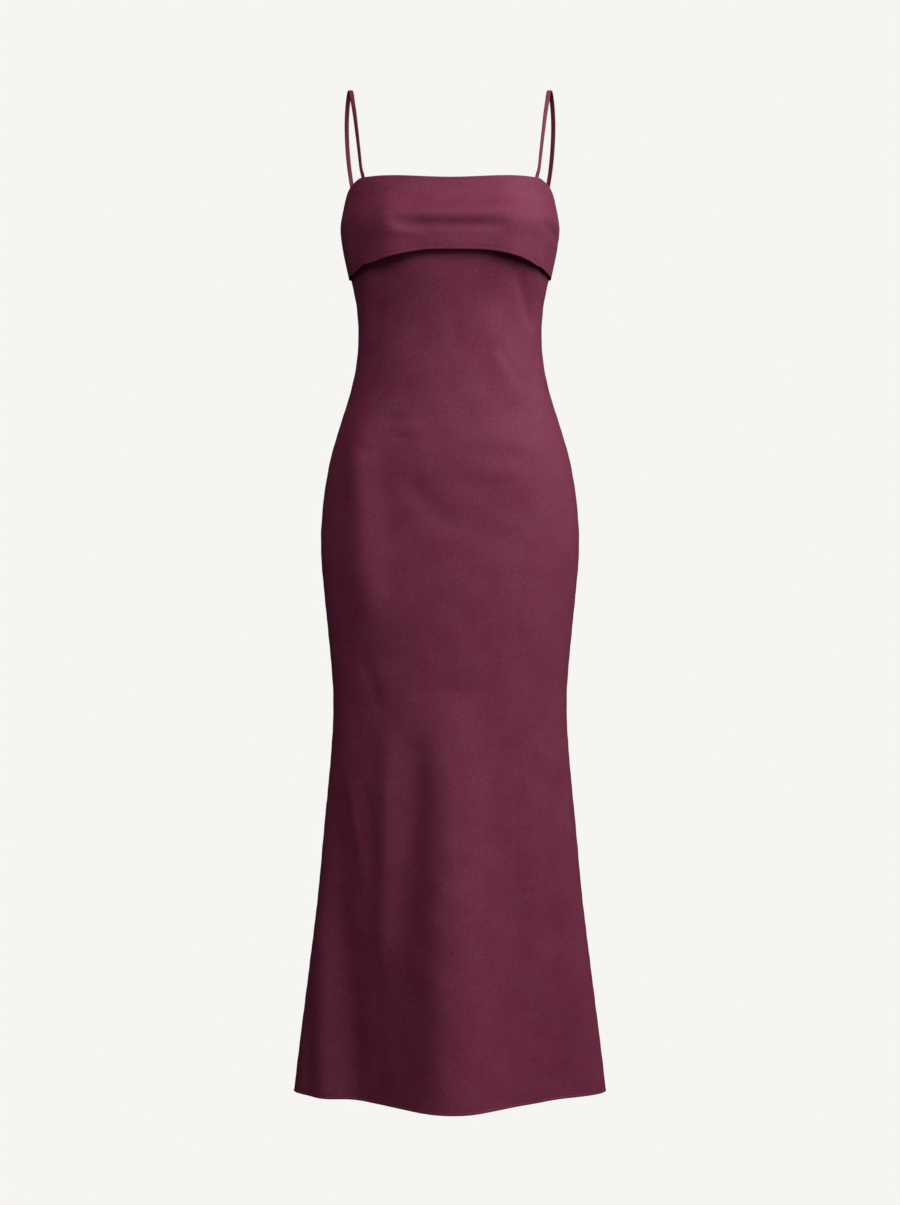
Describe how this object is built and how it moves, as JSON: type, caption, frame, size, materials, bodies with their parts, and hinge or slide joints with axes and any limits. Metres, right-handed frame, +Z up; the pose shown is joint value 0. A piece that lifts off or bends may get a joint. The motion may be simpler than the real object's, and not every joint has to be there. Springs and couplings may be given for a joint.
{
  "type": "slip dress",
  "caption": "Long bias-cut satin slip dress, filled out as worn, with a fold-over bust band, thin shoulder straps and a flared hem.",
  "frame": {"origin": "midway between the tops of the two straps, where the shoulders carry the dress", "axes": "+Z up along the body, -Y out of the front, +X to the wearer's left"},
  "size_m": [0.4262, 0.2864, 1.3662],
  "materials": {
    "satin": "matt-sheen plum satin-back crepe, cut on the bias",
    "band_satin": "the same plum satin, folded double",
    "strap_satin": "the same plum satin, stitched and turned into a narrow strap"
  },
  "bodies": {
    "root": {"front_panel": "satin", "back_panel": "satin", "bust_band": "band_satin", "strap_left": "strap_satin", "strap_right": "strap_satin"}
  },
  "joints": []
}
